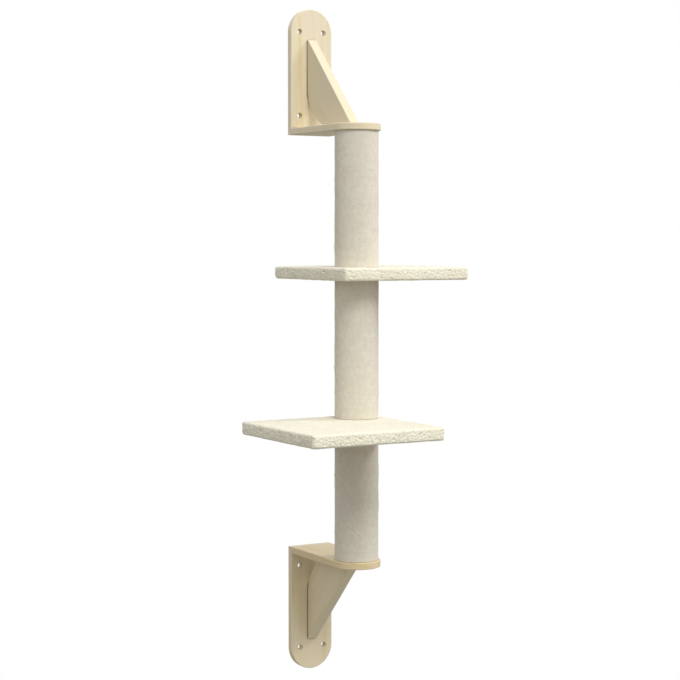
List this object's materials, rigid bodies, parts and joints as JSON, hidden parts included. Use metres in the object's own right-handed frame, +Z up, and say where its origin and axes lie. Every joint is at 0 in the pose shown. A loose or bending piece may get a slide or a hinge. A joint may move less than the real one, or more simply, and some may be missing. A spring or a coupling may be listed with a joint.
{
  "type": "wall mounted cat tree",
  "caption": "Slim wall mounted climbing post for cats: a sisal covered post held between wooden wall brackets, with square plush covered platforms clamped along it, off centre.",
  "frame": {"origin": "centre of the upper wall plate's four screw holes, on its back face against the wall", "axes": "+X along the wall, to the right for someone facing it; +Y into the wall; +Z up along the post"},
  "size_m": [0.344, 0.34, 1.085],
  "materials": {
    "bracket_wood": "sanded pale pine, clear matt lacquer",
    "dowel_wood": "turned beech",
    "plug_wood": "sawn plywood disc",
    "platform_wood": "raw particle board",
    "cardboard": "spiral wound paper tube",
    "sisal_cloth": "tightly woven off-white sisal",
    "cream_plush": "short curly cream plush",
    "zinc_plated_steel": "zinc plated",
    "insert_brass": "machined"
  },
  "bodies": {
    "root": {"upper_wall_plate": "bracket_wood", "upper_shelf": "bracket_wood", "upper_gusset": "bracket_wood", "upper_bracket_screws": "zinc_plated_steel", "upper_bracket_dowels": "dowel_wood", "upper_shelf_bolt": "zinc_plated_steel", "lower_wall_plate": "bracket_wood", "lower_shelf": "bracket_wood", "lower_gusset": "bracket_wood", "lower_bracket_screws": "zinc_plated_steel", "lower_bracket_dowels": "dowel_wood", "lower_shelf_bolt": "zinc_plated_steel", "upper_post_tube": "cardboard", "middle_post_tube": "cardboard", "lower_post_tube": "cardboard", "upper_post_sisal": "sisal_cloth", "middle_post_sisal": "sisal_cloth", "lower_post_sisal": "sisal_cloth", "upper_post_top_plug": "plug_wood", "upper_post_bottom_plug": "plug_wood", "middle_post_top_plug": "plug_wood", "middle_post_bottom_plug": "plug_wood", "lower_post_top_plug": "plug_wood", "lower_post_bottom_plug": "plug_wood", "post_inserts": "insert_brass", "upper_platform_board": "platform_wood", "lower_platform_board": "platform_wood", "upper_platform_cover": "cream_plush", "lower_platform_cover": "cream_plush", "upper_platform_staples": "zinc_plated_steel", "lower_platform_staples": "zinc_plated_steel", "upper_platform_stud": "zinc_plated_steel", "lower_platform_stud": "zinc_plated_steel"}
  },
  "joints": []
}
